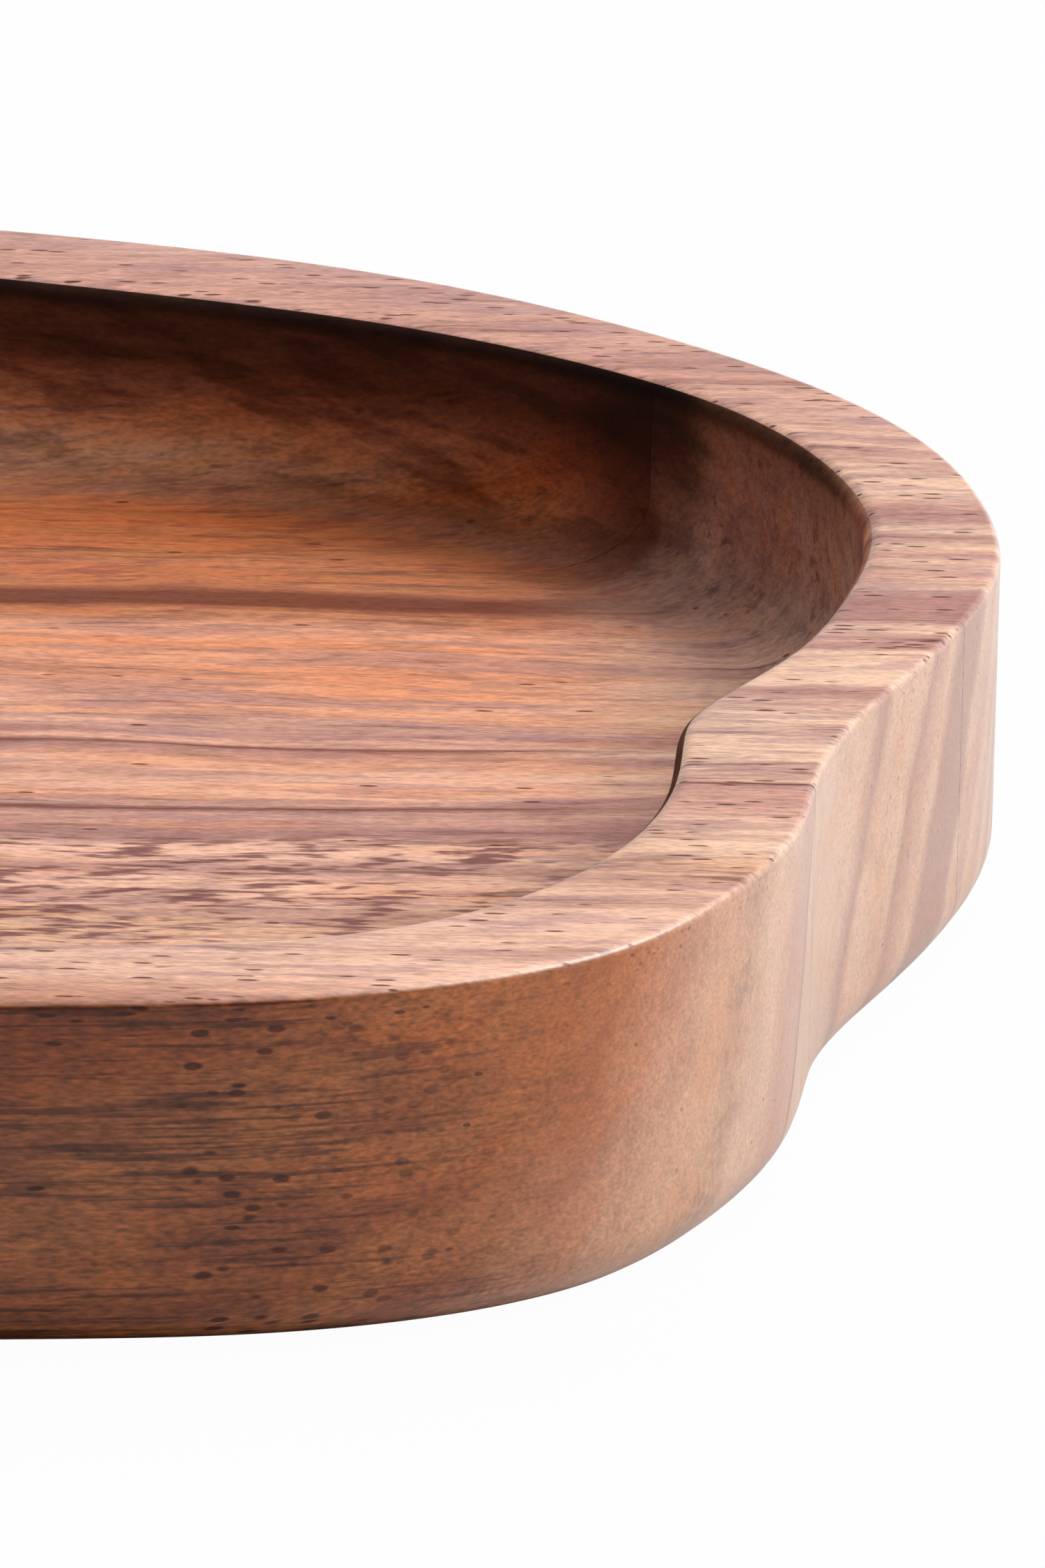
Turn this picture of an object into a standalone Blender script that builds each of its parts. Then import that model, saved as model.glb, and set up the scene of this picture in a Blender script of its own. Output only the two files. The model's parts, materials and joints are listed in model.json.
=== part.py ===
"""A carved hardwood serving tray, as four lengthwise staves that are glued edge to edge.

The panel is sawn to a soft freeform outline with one shallow waist at each end, and a flat well
with coved walls is routed into its top. Metres, +Z up. The origin is on the underside, at the
middle of the tray's length and width. X runs along the grain and Y across it.
"""

import math

import bmesh
import bpy
import numpy as np

# The whole tray. Each end, with its two lobes and the waist between them, takes END_DEPTH of it.
TRAY_LENGTH = 0.300
TRAY_WIDTH = 0.150
TRAY_HEIGHT = 0.022
END_DEPTH = 0.062

# The well and its wall.
RIM_WIDTH = 0.0090
FLOOR_THICKNESS = 0.009
COVE_RADIUS = 0.0055

# Roundings: the heel is the soft lower edge and the lip the edge from the rim into the well. The
# arris is the crisp outer edge, which sanding only eases.
HEEL_RADIUS = 0.0044
LIP_RADIUS = 0.0012
ARRIS_RADIUS = 0.0005

# The staves: the two middle ones have their own widths, and the outer two take what is left. The
# middle joint lies a little in front of the middle of the tray. GLUE_LINE is the gap at each joint.
MIDDLE_JOINT_OFFSET = -0.0028
MID_FRONT_STAVE_WIDTH = 0.0287
MID_BACK_STAVE_WIDTH = 0.0433
GLUE_LINE = 0.0003

# How far the sawing boxes run past the tray.
SAW_OVERRUN = 0.005

# A rounding never takes more than this share of the wall that carries it.
LARGEST_ROUNDING_SHARE = 0.45

# The right end of the outer edge, anticlockwise from its front side, past the waist, to its rear
# side. Shares of END_DEPTH, back from the tip, and of half the width.
OUTER_END_SHARES = (
    (0.930, -0.921),
    (0.685, -0.898),
    (0.507, -0.851),
    (0.362, -0.769),
    (0.263, -0.645),
    (0.206, -0.516),
    (0.183, -0.381),
    (0.142, -0.258),
    (0.083, -0.138),
    (0.032, -0.018),
    (0.001, 0.106),
    (0.012, 0.255),
    (0.067, 0.405),
    (0.177, 0.544),
    (0.362, 0.686),
    (0.603, 0.810),
    (0.976, 0.908),
)

# The right end of the well's edge in the same order, with its tip and half width a rim further in.
WELL_END_SHARES = (
    (0.808, -0.898),
    (0.556, -0.873),
    (0.415, -0.822),
    (0.297, -0.723),
    (0.219, -0.595),
    (0.184, -0.462),
    (0.176, -0.350),
    (0.164, -0.291),
    (0.124, -0.218),
    (0.063, -0.112),
    (0.019, 0.017),
    (-0.011, 0.185),
    (0.014, 0.347),
    (0.102, 0.515),
    (0.248, 0.651),
    (0.432, 0.756),
    (0.698, 0.846),
)

# The long rear edge from right to left, bowed a little. Shares of half the length between the two
# ends, and of half the width.
OUTER_SIDE_SHARES = ((0.517, 0.993), (0.000, 0.990), (-0.520, 0.958))
WELL_SIDE_SHARES = ((0.554, 0.990), (0.000, 0.990), (-0.533, 0.948))

STAVE_NAMES = ("stave_front", "stave_mid_front", "stave_mid_back", "stave_back")
STAVE_COLOURS = (
    (0.49, 0.24, 0.12, 1.0),
    (0.56, 0.29, 0.16, 1.0),
    (0.52, 0.26, 0.14, 1.0),
    (0.54, 0.30, 0.18, 1.0),
)
WOOD_ROUGHNESS = 0.45

# Faces that meet at a wider angle than this are shaded with a sharp edge.
SHARP_ANGLE = math.radians(30)

# How finely the curves are divided.
POINTS_PER_SPAN = 4
ARRIS_STEPS = 2
LIP_STEPS = 4
ROUNDING_STEPS = 6


def edge_points(end_shares, side_shares, rim):
    """The right end, the rear side, and both again turned by half a turn, as points of an edge."""
    tip = TRAY_LENGTH / 2 - rim
    side = TRAY_LENGTH / 2 - END_DEPTH
    half_width = TRAY_WIDTH / 2 - rim
    half = [(tip - back * END_DEPTH, across * half_width) for back, across in end_shares]
    half += [(along * side, across * half_width) for along, across in side_shares]
    half = np.array(half)
    return np.concatenate([half, -half])


def smooth_loop(points):
    """A closed cubic spline through the points, with POINTS_PER_SPAN points for each of them."""
    count = len(points)
    spans = np.sqrt(np.linalg.norm(np.roll(points, -1, axis=0) - points, axis=1))
    system = np.zeros((count, count))
    pull = np.zeros((count, 2))
    for index in range(count):
        after = (index + 1) % count
        before_span = spans[index - 1]
        after_span = spans[index]
        system[index, index - 1] = after_span
        system[index, index] = 2 * (before_span + after_span)
        system[index, after] = before_span
        step_in = (points[index] - points[index - 1]) / before_span
        step_out = (points[after] - points[index]) / after_span
        pull[index] = 3 * (after_span * step_in + before_span * step_out)
    tangents = np.linalg.solve(system, pull)

    loop = []
    for index in range(count):
        after = (index + 1) % count
        start_pull = tangents[index] * spans[index]
        end_pull = tangents[after] * spans[index]
        for step in range(POINTS_PER_SPAN):
            t = step / POINTS_PER_SPAN
            loop.append(
                (2 * t**3 - 3 * t**2 + 1) * points[index]
                + (t**3 - 2 * t**2 + t) * start_pull
                + (3 * t**2 - 2 * t**3) * points[after]
                + (t**3 - t**2) * end_pull
            )
    return np.array(loop)


def inward(line):
    """The unit vector square to the line at each of its points, towards the middle of the tray."""
    along = np.roll(line, -1, axis=0) - np.roll(line, 1, axis=0)
    along /= np.linalg.norm(along, axis=1)[:, None]
    return np.stack([-along[:, 1], along[:, 0]], axis=1)


def quarter_turn(radius, steps):
    """(inset, drop) of each point of a quarter round, from the upright wall to the flat face."""
    turn = np.linspace(0, math.pi / 2, steps + 1)
    return [(radius * (1 - math.cos(a)), radius * (1 - math.sin(a))) for a in turn]


def carved_rings():
    """The rings of points from the underside, up the outer wall, over the rim and into the well."""
    wall_height = TRAY_HEIGHT - FLOOR_THICKNESS
    heel = min(HEEL_RADIUS, TRAY_HEIGHT * LARGEST_ROUNDING_SHARE)
    cove = min(COVE_RADIUS, wall_height * LARGEST_ROUNDING_SHARE)
    outer = smooth_loop(edge_points(OUTER_END_SHARES, OUTER_SIDE_SHARES, 0))
    well = smooth_loop(edge_points(WELL_END_SHARES, WELL_SIDE_SHARES, RIM_WIDTH))
    profile = []
    for inset, drop in reversed(quarter_turn(heel, ROUNDING_STEPS)):
        profile.append((outer, inset, drop))
    for inset, drop in quarter_turn(ARRIS_RADIUS, ARRIS_STEPS):
        profile.append((outer, inset, TRAY_HEIGHT - drop))
    for inset, drop in reversed(quarter_turn(LIP_RADIUS, LIP_STEPS)):
        profile.append((well, -inset, TRAY_HEIGHT - drop))
    for inset, drop in quarter_turn(cove, ROUNDING_STEPS):
        profile.append((well, inset, FLOOR_THICKNESS + drop))
    rings = []
    for line, inset, height in profile:
        flat = line + inset * inward(line)
        rings.append([(x, y, height) for x, y in flat])
    return rings


def carved_mesh():
    """The whole tray as one closed mesh, before it is parted along its glued joints."""
    form = bmesh.new()
    rings = [[form.verts.new(point) for point in ring] for ring in carved_rings()]
    form.faces.new(list(reversed(rings[0])))
    for below, above in zip(rings, rings[1:]):
        for index in range(len(below)):
            after = (index + 1) % len(below)
            form.faces.new((below[index], below[after], above[after], above[index]))
    form.faces.new(rings[-1])
    mesh = bpy.data.meshes.new("carved_tray")
    form.to_mesh(mesh)
    form.free()
    return mesh


def stave_spans():
    """The lowest and highest Y of each stave, with half a glue line left off at each joint."""
    front_joint = MIDDLE_JOINT_OFFSET - MID_FRONT_STAVE_WIDTH
    back_joint = MIDDLE_JOINT_OFFSET + MID_BACK_STAVE_WIDTH
    joints = [front_joint, MIDDLE_JOINT_OFFSET, back_joint]
    edge = TRAY_WIDTH / 2 + SAW_OVERRUN
    lows = [-edge] + [joint + GLUE_LINE / 2 for joint in joints]
    highs = [joint - GLUE_LINE / 2 for joint in joints] + [edge]
    return list(zip(lows, highs))


def add_board(name, low, high):
    """The straight board that one stave is sawn from, kept as a guide that isn't part of the tray."""
    form = bmesh.new()
    bmesh.ops.create_cube(form, size=1)
    length = TRAY_LENGTH + 2 * SAW_OVERRUN
    height = TRAY_HEIGHT + 2 * SAW_OVERRUN
    bmesh.ops.scale(form, vec=(length, high - low, height), verts=form.verts)
    mesh = bpy.data.meshes.new(name)
    form.to_mesh(mesh)
    form.free()
    board = bpy.data.objects.new(name, mesh)
    board.location = (0, (low + high) / 2, TRAY_HEIGHT / 2)
    board.hide_render = True
    board.display_type = "WIRE"
    bpy.context.scene.collection.objects.link(board)
    return board


def wood(name, colour):
    material = bpy.data.materials.new(name)
    material.use_nodes = True
    surface = material.node_tree.nodes["Principled BSDF"]
    surface.inputs["Base Color"].default_value = colour
    surface.inputs["Roughness"].default_value = WOOD_ROUGHNESS
    surface.inputs["Metallic"].default_value = 0
    return material


def add_stave(name, colour, low, high):
    """One stave: the carved tray where it meets the stave's own board."""
    mesh = carved_mesh()
    mesh.materials.append(wood(name + "_wood", colour))
    mesh.shade_smooth()
    mesh.set_sharp_from_angle(angle=SHARP_ANGLE)
    stave = bpy.data.objects.new(name, mesh)
    bpy.context.scene.collection.objects.link(stave)
    sawn = stave.modifiers.new("sawn", "BOOLEAN")
    sawn.operation = "INTERSECT"
    sawn.solver = "EXACT"
    sawn.object = add_board(name + "_board", low, high)
    return stave


for leftover in list(bpy.data.objects):
    bpy.data.objects.remove(leftover, do_unlink=True)

for stave_name, stave_colour, (front, back) in zip(STAVE_NAMES, STAVE_COLOURS, stave_spans()):
    add_stave(stave_name, stave_colour, front, back)
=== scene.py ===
# %% [markdown]
# # A carved wooden serving tray
#
# The tray is one thick panel, glued up from four boards that lie side by side, and then carved: the
# outline is sawn, a flat well is routed into the top, and every edge is sanded. This lesson loads
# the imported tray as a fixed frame, models the four boards again with fine edges, gives each its own
# wood, and lights it for a close view of one end.

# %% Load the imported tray
import json
import math

import bmesh
import bpy
import numpy as np
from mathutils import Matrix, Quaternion, Vector


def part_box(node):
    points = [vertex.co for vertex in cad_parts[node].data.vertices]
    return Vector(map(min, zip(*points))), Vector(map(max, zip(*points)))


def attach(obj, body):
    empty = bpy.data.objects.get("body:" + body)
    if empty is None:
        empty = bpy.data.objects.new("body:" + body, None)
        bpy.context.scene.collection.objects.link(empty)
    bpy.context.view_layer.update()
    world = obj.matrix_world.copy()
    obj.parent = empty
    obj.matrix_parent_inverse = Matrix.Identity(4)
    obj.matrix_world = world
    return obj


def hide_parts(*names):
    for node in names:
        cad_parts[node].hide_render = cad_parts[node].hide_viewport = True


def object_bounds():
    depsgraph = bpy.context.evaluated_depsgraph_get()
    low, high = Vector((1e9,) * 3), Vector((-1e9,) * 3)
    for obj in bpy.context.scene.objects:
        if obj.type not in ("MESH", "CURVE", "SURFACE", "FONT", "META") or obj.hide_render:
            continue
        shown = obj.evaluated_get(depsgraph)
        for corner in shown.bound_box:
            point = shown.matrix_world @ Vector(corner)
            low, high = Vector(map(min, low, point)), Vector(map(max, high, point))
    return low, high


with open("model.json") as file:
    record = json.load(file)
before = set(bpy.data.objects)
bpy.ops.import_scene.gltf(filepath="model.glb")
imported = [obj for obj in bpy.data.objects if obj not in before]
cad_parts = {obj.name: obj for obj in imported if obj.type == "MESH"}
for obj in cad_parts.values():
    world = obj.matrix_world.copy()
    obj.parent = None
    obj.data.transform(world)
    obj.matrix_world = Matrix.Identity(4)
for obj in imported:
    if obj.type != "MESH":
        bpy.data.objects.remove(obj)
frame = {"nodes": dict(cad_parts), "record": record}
cad_low, cad_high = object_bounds()
cad_size = cad_high - cad_low
print("CAD nodes:", ", ".join(sorted(frame["nodes"])))
print("CAD size in mm:", [round(side * 1000, 1) for side in cad_size])

# %% [markdown]
# ## The outline
#
# The maker draws two lines on the panel: the outer edge, and the edge of the well. Both run from the
# front side round the right end, dip in at its waist, and go on to the back side. The left end is the
# right end turned by half a turn, so only half of each line is listed. The points are shares of the
# end's depth and of half the width, so that the drawing follows the size of the tray.

# %% The sizes of the tray
TRAY_LENGTH = 0.300
TRAY_WIDTH = 0.150
TRAY_HEIGHT = cad_size.z
END_DEPTH = 0.062
RIM_WIDTH = 0.0090
mounts = {mount["name"]: mount for mount in frame["record"]["mounts"]}
FLOOR_THICKNESS = mounts["well_floor"]["pos_m"][2]
print("floor thickness in mm:", round(FLOOR_THICKNESS * 1000, 2))

# %% Half of the outer line, as shares
OUTER_END_SHARES = (
    (0.930, -0.921),
    (0.685, -0.898),
    (0.507, -0.851),
    (0.362, -0.769),
    (0.263, -0.645),
    (0.206, -0.516),
    (0.183, -0.381),
    (0.142, -0.258),
    (0.083, -0.138),
    (0.032, -0.018),
    (0.001, 0.106),
    (0.012, 0.255),
    (0.067, 0.405),
    (0.177, 0.544),
    (0.362, 0.686),
    (0.603, 0.810),
    (0.976, 0.908),
)
OUTER_SIDE_SHARES = ((0.517, 0.993), (0.000, 0.990), (-0.520, 0.958))
print("points on half of the outer line:", len(OUTER_END_SHARES) + len(OUTER_SIDE_SHARES))

# %% Half of the well's line, as shares
WELL_END_SHARES = (
    (0.808, -0.898),
    (0.556, -0.873),
    (0.415, -0.822),
    (0.297, -0.723),
    (0.219, -0.595),
    (0.184, -0.462),
    (0.176, -0.350),
    (0.164, -0.291),
    (0.124, -0.218),
    (0.063, -0.112),
    (0.019, 0.017),
    (-0.011, 0.185),
    (0.014, 0.347),
    (0.102, 0.515),
    (0.248, 0.651),
    (0.432, 0.756),
    (0.698, 0.846),
)
WELL_SIDE_SHARES = ((0.554, 0.990), (0.000, 0.990), (-0.533, 0.948))
print("points on half of the well's line:", len(WELL_END_SHARES) + len(WELL_SIDE_SHARES))


# %% From shares to places
def edge_points(end_shares, side_shares, rim):
    """The points of one line in metres: right end, back side, and both turned by half a turn."""
    tip = TRAY_LENGTH / 2 - rim
    side = TRAY_LENGTH / 2 - END_DEPTH
    half_width = TRAY_WIDTH / 2 - rim
    half = [(tip - back * END_DEPTH, across * half_width) for back, across in end_shares]
    half += [(along * side, across * half_width) for along, across in side_shares]
    half = np.array(half)
    return np.concatenate([half, -half])


outer_points = edge_points(OUTER_END_SHARES, OUTER_SIDE_SHARES, 0)
well_points = edge_points(WELL_END_SHARES, WELL_SIDE_SHARES, RIM_WIDTH)
print("half the outer line's reach in mm:", (outer_points.max(axis=0) * 1000).round(1))
print("half the well line's reach in mm:", (well_points.max(axis=0) * 1000).round(1))

# %% [markdown]
# ## A smooth line through the points
#
# A Bezier curve is the tool for a line like this. Its handles decide how it bends, and a sanded edge
# has no place where the bend changes suddenly, so the handles are worked out together: at every point
# the curve leaves as it arrives, with the same bend. That is a small system of equations.


# %% Work out the handles
def handle_pulls(points):
    """The two vectors from each point to its handles, for a curve whose bend never jumps."""
    count = len(points)
    spans = np.sqrt(np.linalg.norm(np.roll(points, -1, axis=0) - points, axis=1))
    system = np.zeros((count, count))
    pull = np.zeros((count, 2))
    for index in range(count):
        after = (index + 1) % count
        before_span = spans[index - 1]
        after_span = spans[index]
        system[index, index - 1] = after_span
        system[index, index] = 2 * (before_span + after_span)
        system[index, after] = before_span
        step_in = (points[index] - points[index - 1]) / before_span
        step_out = (points[after] - points[index]) / after_span
        pull[index] = 3 * (after_span * step_in + before_span * step_out)
    slopes = np.linalg.solve(system, pull)
    return slopes * np.roll(spans, 1)[:, None] / 3, slopes * spans[:, None] / 3


# %% Draw a line as a curve, and turn it into a ring of points
POINTS_PER_SPAN = 24
CORNERS_OF_A_CIRCLE = 4


def draw_ring(name, points, height):
    """A circle with enough points, drawn onto the line and converted to a ring of mesh edges."""
    bpy.ops.curve.primitive_bezier_circle_add(radius=TRAY_LENGTH / 2)
    ring = bpy.context.object
    ring.name = name
    bpy.ops.object.mode_set(mode="EDIT")
    bpy.ops.curve.select_all(action="SELECT")
    bpy.ops.curve.subdivide(number_cuts=len(points) // CORNERS_OF_A_CIRCLE - 1)
    bpy.ops.object.mode_set(mode="OBJECT")
    before, after = handle_pulls(points)
    for knot, place, back, on in zip(ring.data.splines[0].bezier_points, points, before, after):
        knot.handle_left_type = "FREE"
        knot.handle_right_type = "FREE"
        knot.co = (*place, height)
        knot.handle_left = (*(place - back), height)
        knot.handle_right = (*(place + on), height)
    ring.data.resolution_u = POINTS_PER_SPAN
    bpy.ops.object.convert(target="MESH")
    print(name, "has", len(ring.data.vertices), "points")
    return ring


bpy.ops.object.select_all(action="DESELECT")
outer_ring = draw_ring("outer_line", outer_points, TRAY_HEIGHT)
well_ring = draw_ring("well_line", well_points, FLOOR_THICKNESS)

# %% [markdown]
# ## Carving the panel
#
# The two rings become one mesh, and Bridge fills the space between them with the flat rim. It takes
# its direction from the way that one ring lies above the other, so the well's ring starts down at
# the floor and is lifted to the rim afterwards. Pulling a ring straight down makes a wall, and a face
# closes its lower end. A Boolean cut into a block would give the same form, but rings that are
# bridged and pulled keep clean rows of faces, which the Bevels that follow need.

# %% Find the edges at one height
SAME_HEIGHT = 0.00001
SHARP_ANGLE = math.radians(60)
OUTER_WALL = 1
BOTH_WALLS = 0
WELL_WALL = -1


def looks_outwards(edge):
    """Above 0 where the wall beside an edge looks away from the middle of the tray."""
    middle = (edge.verts[0].co + edge.verts[1].co) / 2
    normal = sum((face.normal for face in edge.link_faces), Vector())
    return normal.x * middle.x + normal.y * middle.y


def select_level_edges(form, height, wall=BOTH_WALLS):
    """Selects the edges at one height that turn a corner there, or end the mesh."""
    for edge in form.edges:
        level = all(abs(vertex.co.z - height) < SAME_HEIGHT for vertex in edge.verts)
        sharp = edge.calc_face_angle(math.pi) > SHARP_ANGLE
        if level and sharp and wall * looks_outwards(edge) >= 0:
            edge.select_set(True)


print("an edge is sharp from", round(math.degrees(SHARP_ANGLE)), "degrees")

# %% Join the two rings by the rim
outer_ring.select_set(True)
well_ring.select_set(True)
bpy.context.view_layer.objects.active = outer_ring
bpy.ops.object.join()
panel = bpy.context.object
panel.name = "carved_panel"
bpy.ops.object.mode_set(mode="EDIT")
bpy.ops.mesh.select_mode(type="EDGE")
bpy.ops.mesh.select_all(action="SELECT")
bpy.ops.mesh.bridge_edge_loops()
bpy.ops.mesh.select_all(action="DESELECT")
select_level_edges(bmesh.from_edit_mesh(panel.data), FLOOR_THICKNESS)
well_depth = TRAY_HEIGHT - FLOOR_THICKNESS
bpy.ops.transform.translate(value=(0, 0, well_depth))
print("the well is", round(well_depth * 1000, 2), "mm deep")

# %% Pull down the well and then the outer wall
bpy.ops.mesh.extrude_region_move(TRANSFORM_OT_translate={"value": (0, 0, -well_depth)})
bpy.ops.mesh.edge_face_add()
bpy.ops.mesh.select_all(action="DESELECT")
bpy.ops.mesh.select_non_manifold()
bpy.ops.mesh.extrude_region_move(TRANSFORM_OT_translate={"value": (0, 0, -TRAY_HEIGHT)})
bpy.ops.mesh.edge_face_add()
bpy.ops.mesh.select_all(action="SELECT")
bpy.ops.mesh.normals_make_consistent(inside=False)
bpy.ops.object.mode_set(mode="OBJECT")
print("faces before rounding:", len(panel.data.polygons))

# %% [markdown]
# ## Rounding the edges
#
# Every edge that a hand meets is rounded, each with its own radius, and Bevel is the tool for that. The
# heel is the soft lower edge, and the cove is the wide hollow that a round-nosed cutter leaves at the
# foot of the well. The lip leads from the rim into the well. The arris, the outer edge of the rim, is
# only eased, so that it still looks crisp.

# %% Round the edges
HEEL_RADIUS = 0.0044
COVE_RADIUS = 0.0055
LIP_RADIUS = 0.0012
ARRIS_RADIUS = 0.0005
ROUNDINGS = {
    "heel": {"height": 0, "radius": HEEL_RADIUS, "segments": 12, "wall": BOTH_WALLS},
    "cove": {"height": FLOOR_THICKNESS, "radius": COVE_RADIUS, "segments": 12, "wall": BOTH_WALLS},
    "lip": {"height": TRAY_HEIGHT, "radius": LIP_RADIUS, "segments": 8, "wall": WELL_WALL},
    "arris": {"height": TRAY_HEIGHT, "radius": ARRIS_RADIUS, "segments": 4, "wall": OUTER_WALL},
}


def round_edges(panel, height, radius, segments, wall):
    """Bevels the sharp edges that lie at one height."""
    bpy.ops.object.mode_set(mode="EDIT")
    bpy.ops.mesh.select_all(action="DESELECT")
    select_level_edges(bmesh.from_edit_mesh(panel.data), height, wall)
    bpy.ops.mesh.bevel(offset=radius, segments=segments, profile=0.5, clamp_overlap=False)
    bpy.ops.object.mode_set(mode="OBJECT")


for name, rounding in ROUNDINGS.items():
    round_edges(panel, **rounding)
    print("faces with the", name, "rounded:", len(panel.data.polygons))

# %% [markdown]
# ## Marking the walls and the arris
#
# Saw and cutter rub the walls while they cut them, and oil gathers there, so the walls differ from the
# sanded faces above and below. The well's wall also gets painted light and shade, the end walls a
# painted sheen, and the arris a painted highlight. The material can't tell these by place alone, so
# every point of the mesh gets three marks, which it reads later: one where a wall looks towards the
# middle of the tray, one where it looks away, and one on the arris. The upper part of the lip stays
# unmarked, because it is sanded with the rim.

# %% Mark the points
WALLS_START = ARRIS_RADIUS / 2
inside = panel.data.attributes.new("inside", "FLOAT", "POINT")
outside = panel.data.attributes.new("outside", "FLOAT", "POINT")
arris = panel.data.attributes.new("arris", "FLOAT", "POINT")
for point in panel.data.vertices:
    away = point.normal.x * point.co.x + point.normal.y * point.co.y
    below_the_rim = TRAY_HEIGHT - point.co.z
    if below_the_rim > WALLS_START:
        inside.data[point.index].value = away < 0
        outside.data[point.index].value = away > 0
    if SAME_HEIGHT < below_the_rim < ARRIS_RADIUS - SAME_HEIGHT:
        arris.data[point.index].value = away > 0
for marks in (inside, outside, arris):
    print("points marked as", marks.name, "-", sum(mark.value > 0 for mark in marks.data))

# %% [markdown]
# ## Parting the panel into its four boards
#
# On the real tray the boards come first and the carving second. Here it is easier the other way
# round: the carved panel is copied four times, and each copy is sawn along its two joints. The saw is
# the Bisect tool, which also closes the cut. A hair's breadth is left between the boards, because
# the glue line of a real joint shows as a fine dark line.

# %% Where the joints run
CAD_GLUE_LINE = 0.0003
front_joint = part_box("stave_front")[1].y + CAD_GLUE_LINE / 2
middle_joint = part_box("stave_mid_back")[0].y - CAD_GLUE_LINE / 2
back_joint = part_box("stave_back")[0].y - CAD_GLUE_LINE / 2
joints = [front_joint, middle_joint, back_joint]
print("joints at y in mm:", [round(y * 1000, 2) for y in joints])

# %% Saw out a board
GLUE_LINE = 0.00005
SAW_SNAP = 0.000001
SMOOTH_ANGLE = math.radians(30)


def saw(place, side):
    """Cuts the board in edit mode, square to Y, and drops what lies on the side, -1 or 1."""
    bpy.ops.mesh.select_all(action="SELECT")
    bpy.ops.mesh.bisect(
        plane_co=(0, place, 0),
        plane_no=(0, side, 0),
        use_fill=True,
        clear_outer=True,
        threshold=SAW_SNAP,
    )


def saw_out(name, front, back):
    """A copy of the carved panel between two joints. None stands for the tray's own edge."""
    bpy.ops.object.select_all(action="DESELECT")
    board = panel.copy()
    board.data = panel.data.copy()
    board.name = name
    bpy.context.scene.collection.objects.link(board)
    board.select_set(True)
    bpy.context.view_layer.objects.active = board
    bpy.ops.object.mode_set(mode="EDIT")
    if front is not None:
        saw(front + GLUE_LINE / 2, -1)
    if back is not None:
        saw(back - GLUE_LINE / 2, 1)
    bpy.ops.object.mode_set(mode="OBJECT")
    bpy.ops.object.shade_smooth_by_angle(angle=SMOOTH_ANGLE)
    print(name, "has", len(board.data.polygons), "faces")
    return board


print("glue line in mm:", GLUE_LINE * 1000)

# %% Saw out all four
STAVES = ("stave_front", "stave_mid_front", "stave_mid_back", "stave_back")
cuts = [None, *joints, None]
boards = {}
for stave, front, back in zip(STAVES, cuts, cuts[1:]):
    boards[stave] = saw_out("wood_" + stave, front, back)
bpy.data.objects.remove(panel)

# %% [markdown]
# ## Materials as Python sums
#
# A wood pattern is mostly arithmetic: a place in the board goes in, and a shade comes out. To keep it
# readable, a small class wraps one output of a node, so that an expression such as `1 - mask` adds
# the Math node that works it out. Every other node comes from one method of the node tree.


# %% One output of a node, with arithmetic
class Shade:
    """A number, a place or a colour that varies over the surface."""

    def __init__(self, nodes, socket):
        self.nodes = nodes
        self.socket = socket

    def __abs__(self):
        return self.nodes.maths("ABSOLUTE", self)

    def __add__(self, other):
        return self.nodes.maths("ADD", self, other)

    def __sub__(self, other):
        return self.nodes.maths("SUBTRACT", self, other)

    def __rsub__(self, other):
        return self.nodes.maths("SUBTRACT", other, self)

    def __mul__(self, other):
        return self.nodes.maths("MULTIPLY", self, other)

    def __truediv__(self, other):
        return self.nodes.maths("DIVIDE", self, other)

    def __rtruediv__(self, other):
        return self.nodes.maths("DIVIDE", other, self)

    __radd__ = __add__
    __rmul__ = __mul__


# %% A node tree that starts empty
class Nodes:
    """An empty node tree, to which nodes are added one by one."""

    def __init__(self, owner):
        owner.use_nodes = True
        self.tree = owner.node_tree
        self.tree.nodes.clear()

    def node(self, kind, settings=None, inputs=None, output=0):
        """Adds a node, makes its settings and then fills its sockets, and gives back one output."""
        made = self.tree.nodes.new("ShaderNode" + kind)
        for name, value in (settings or {}).items():
            if name == "stops":
                self.set_stops(made.color_ramp, value)
            else:
                setattr(made, name, value)
        for name, value in (inputs or {}).items():
            if isinstance(value, Shade):
                self.tree.links.new(value.socket, made.inputs[name])
            else:
                made.inputs[name].default_value = value
        return Shade(self, made.outputs[output]) if made.outputs else None

    def set_stops(self, ramp, stops):
        """Gives a colour ramp its stops, each a position and a colour."""
        while len(ramp.elements) < len(stops):
            ramp.elements.new(1)
        for element, (position, colour) in zip(ramp.elements, stops):
            element.position = position
            element.color = colour

    def maths(self, operation, *values):
        """One Math node, worked out from numbers or from outputs."""
        return self.node("Math", {"operation": operation}, dict(enumerate(values)))

    def larger(self, first, second):
        """The larger one of two numbers."""
        return self.maths("MAXIMUM", first, second)

    def step(self, value, low, high):
        """A soft step: 0 below low, 1 above high. It falls instead where low is the higher one."""
        settings = {"interpolation_type": "SMOOTHSTEP"}
        return self.node("MapRange", settings, {"Value": value, "From Min": low, "From Max": high})

    def between(self, mask, first, second):
        """The first number where the mask is 0 and the second where it is 1."""
        return first + mask * (second - first)

    def axes(self, place):
        """The X, Y and Z of a place, as three numbers."""
        return [self.node("SeparateXYZ", None, {0: place}, axis) for axis in "XYZ"]

    def blend(self, mask, first, second, mode="MIX"):
        """The first colour where the mask is 0, and the second blended in where it is 1."""
        # Sockets 0, 6 and 7 of a Mix node are its factor and its two colours.
        settings = {"data_type": "RGBA", "blend_type": mode}
        return self.node("Mix", settings, {0: mask, 6: first, 7: second}, output=2)


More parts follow.
